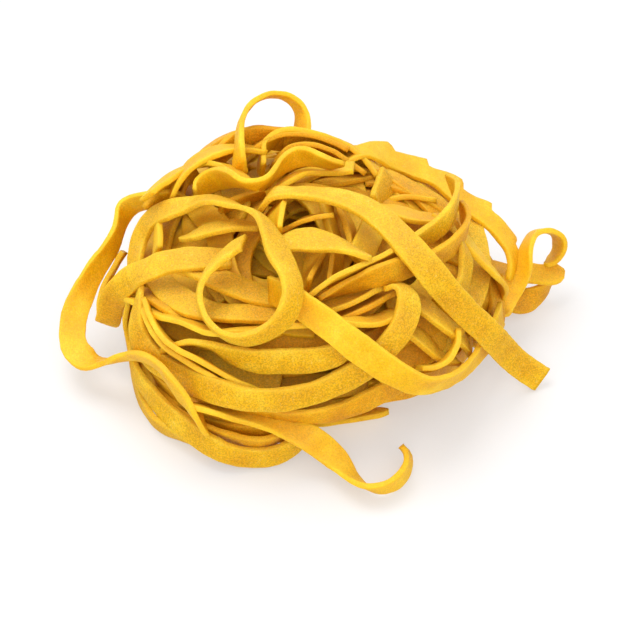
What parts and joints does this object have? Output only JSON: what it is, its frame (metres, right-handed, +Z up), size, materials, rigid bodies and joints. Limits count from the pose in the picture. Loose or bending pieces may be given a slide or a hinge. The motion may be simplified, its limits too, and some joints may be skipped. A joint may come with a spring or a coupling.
{
  "type": "dry pasta nest",
  "caption": "Loose nest of dry egg ribbon pasta: coiled flat ribbons heaped in a low dome, with a few loops and ends straying out.",
  "frame": {"origin": "middle of the flat spot that the nest rests on, on the surface that it stands on", "axes": "+Z up, +X along the longest side, to the right as the shown side is seen from the front (looking along +Y)"},
  "size_m": [0.1268, 0.1015, 0.0577],
  "materials": {
    "dry_pasta": "matte golden egg-and-semolina dough, dried hard"
  },
  "bodies": {
    "root": {"pasta_nest": "dry_pasta"}
  },
  "joints": []
}
